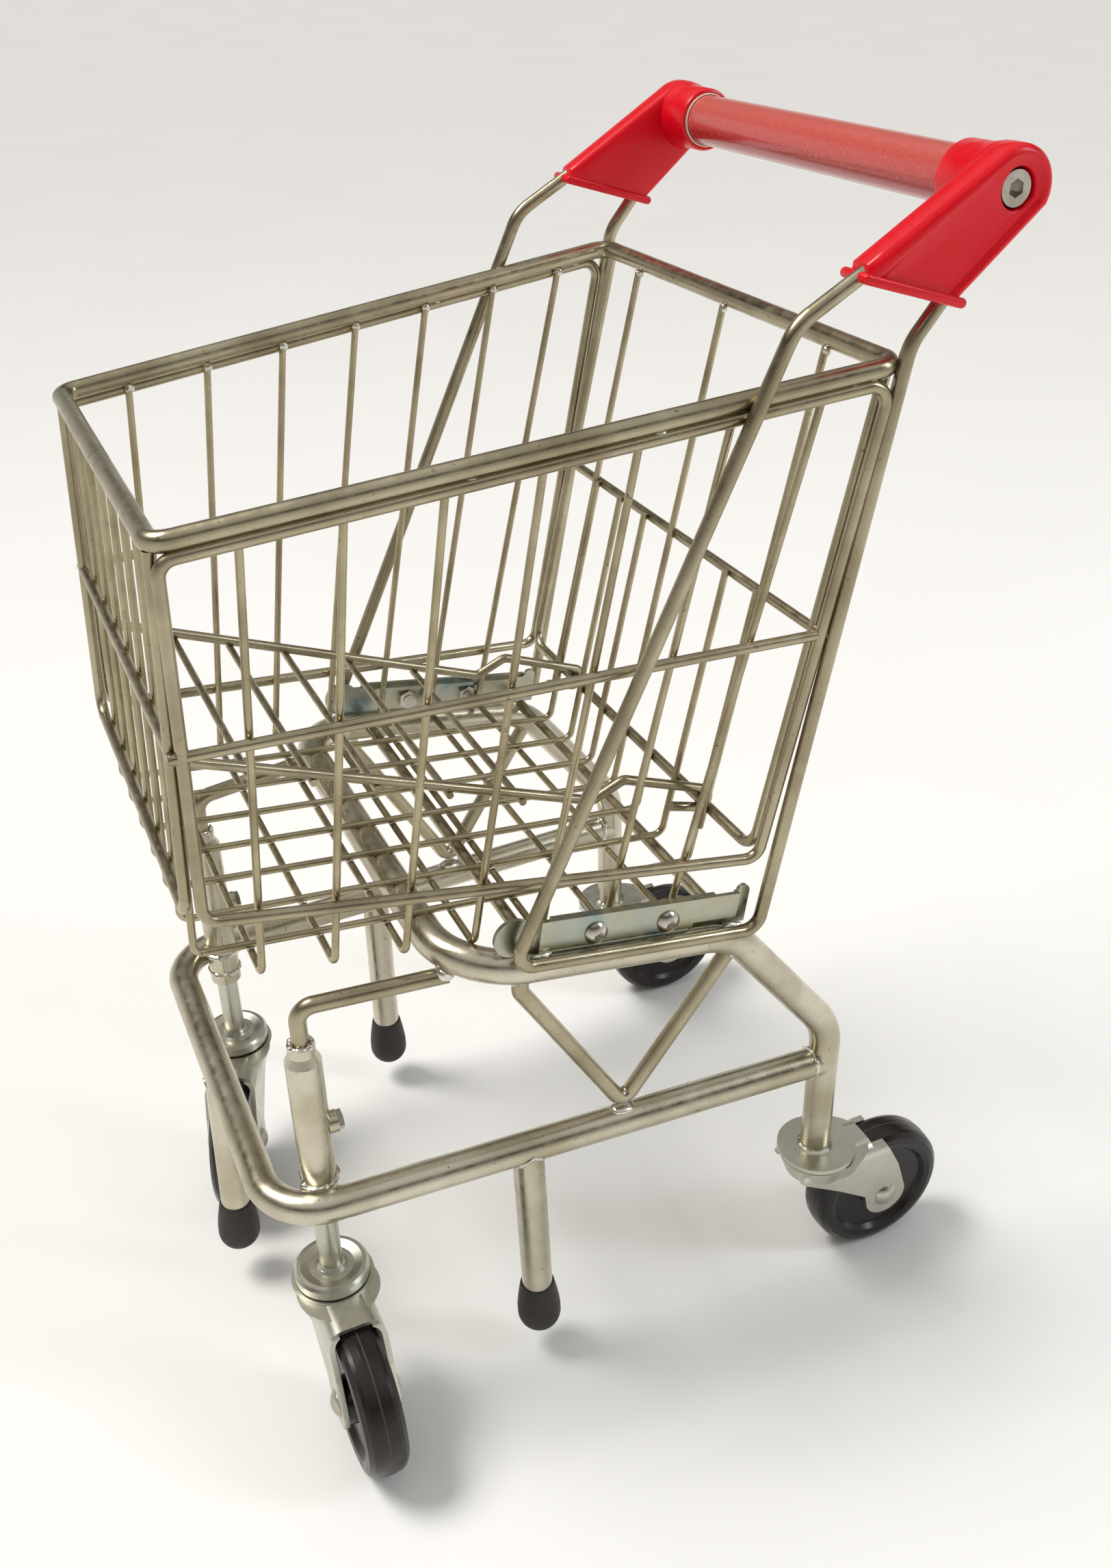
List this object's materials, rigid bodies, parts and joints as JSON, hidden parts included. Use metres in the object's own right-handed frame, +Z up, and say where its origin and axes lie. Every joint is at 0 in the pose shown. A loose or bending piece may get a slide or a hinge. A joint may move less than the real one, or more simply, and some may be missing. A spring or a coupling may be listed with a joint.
{
  "type": "shopping cart",
  "caption": "Small wire-basket shopping cart with a bent tube frame, swivel front and rigid rear casters, a lifting inner rack and a push handle.",
  "frame": {"origin": "on the floor, in the plane of symmetry, midway between the front swivel axes and the rear axle", "axes": "+X to the cart left, front faces -Y, the handle is at +Y, +Z up"},
  "size_m": [0.308, 0.3645, 0.5538],
  "materials": {
    "zinc_tube": "bright zinc plating on steel tube, warm yellowish tint",
    "zinc_rod": "bright zinc plating on drawn rod",
    "zinc_wire": "bright zinc plating on welded wire",
    "zinc_sheet": "zinc-plated pressed sheet",
    "bright_steel": "plated fasteners",
    "black_rubber": "matte",
    "wheel_rubber": "satin moulded",
    "red_plastic": "glossy moulded",
    "grip_plastic": "glossy, slightly translucent sleeve",
    "liner_plastic": "pale inner sleeve"
  },
  "bodies": {
    "cart": {"lower_frame": "zinc_tube", "upper_frame": "zinc_tube", "v_brace_left": "zinc_rod", "v_brace_right": "zinc_rod", "front_link_left": "zinc_rod", "front_link_right": "zinc_rod", "caster_sleeve_left": "zinc_tube", "caster_sleeve_right": "zinc_tube", "sleeve_screws": "bright_steel", "leg_post_left": "zinc_tube", "leg_post_right": "zinc_tube", "leg_post_front": "zinc_tube", "leg_tip_left": "black_rubber", "leg_tip_right": "black_rubber", "leg_tip_front": "black_rubber", "caster_stem_left": "zinc_sheet", "caster_stem_right": "zinc_sheet", "rear_fork_left": "zinc_sheet", "rear_fork_right": "zinc_sheet", "rear_axle_left": "bright_steel", "rear_axle_right": "bright_steel", "rear_bush_left": "bright_steel", "rear_bush_right": "bright_steel", "mount_plate_left": "zinc_sheet", "mount_plate_right": "zinc_sheet", "clamp_strip_left": "zinc_sheet", "clamp_strip_right": "zinc_sheet", "mount_screws": "bright_steel", "mount_nuts": "bright_steel", "support_rods": "zinc_rod", "basket_rim": "zinc_rod", "side_loop_left": "zinc_rod", "side_loop_right": "zinc_rod", "front_loop": "zinc_rod", "rear_loop": "zinc_rod", "mid_rods": "zinc_rod", "cross_wires": "zinc_wire", "long_wires": "zinc_wire", "handle_rod_left": "zinc_rod", "handle_rod_right": "zinc_rod", "handle_bracket_left": "red_plastic", "handle_bracket_right": "red_plastic", "handle_core": "bright_steel", "handle_liner": "liner_plastic", "handle_grip": "grip_plastic", "handle_screws": "bright_steel"},
    "caster_left": {"front_yoke_left": "zinc_sheet", "race_balls_left": "bright_steel", "front_axle_left": "bright_steel", "front_bush_left": "bright_steel"},
    "front_wheel_left": {"front_wheel_left": "wheel_rubber"},
    "rear_wheel_left": {"rear_wheel_left": "wheel_rubber"},
    "caster_right": {"front_yoke_right": "zinc_sheet", "race_balls_right": "bright_steel", "front_axle_right": "bright_steel", "front_bush_right": "bright_steel"},
    "front_wheel_right": {"front_wheel_right": "wheel_rubber"},
    "rear_wheel_right": {"rear_wheel_right": "wheel_rubber"},
    "inner_rack": {"flap_frame": "zinc_rod", "flap_wires": "zinc_wire"}
  },
  "joints": [
    {"name": "caster_swivel_left", "type": "hinge", "parent": "cart", "child": "caster_left", "pos_m": [0.0925, -0.144, 0.0785], "axis": [0, 0, 1], "continuous": true},
    {"name": "front_wheel_spin_left", "type": "hinge", "parent": "caster_left", "child": "front_wheel_left", "pos_m": [0.1305, -0.144, 0.0375], "axis": [0, 1, 0], "continuous": true},
    {"name": "rear_wheel_spin_left", "type": "hinge", "parent": "cart", "child": "rear_wheel_left", "pos_m": [0.12, 0.144, 0.0375], "axis": [1, 0, 0], "continuous": true},
    {"name": "caster_swivel_right", "type": "hinge", "parent": "cart", "child": "caster_right", "pos_m": [-0.0925, -0.144, 0.0785], "axis": [0, 0, 1], "continuous": true},
    {"name": "front_wheel_spin_right", "type": "hinge", "parent": "caster_right", "child": "front_wheel_right", "pos_m": [-0.05702, -0.15762, 0.0375], "axis": [0.3584, 0.9336, 0], "continuous": true},
    {"name": "rear_wheel_spin_right", "type": "hinge", "parent": "cart", "child": "rear_wheel_right", "pos_m": [-0.12, 0.144, 0.0375], "axis": [1, 0, 0], "continuous": true},
    {"name": "inner_rack_hinge", "type": "hinge", "parent": "cart", "child": "inner_rack", "pos_m": [0, 0.0585, 0.2728], "axis": [-1, 0, 0], "range_deg": [0, 75]}
  ]
}
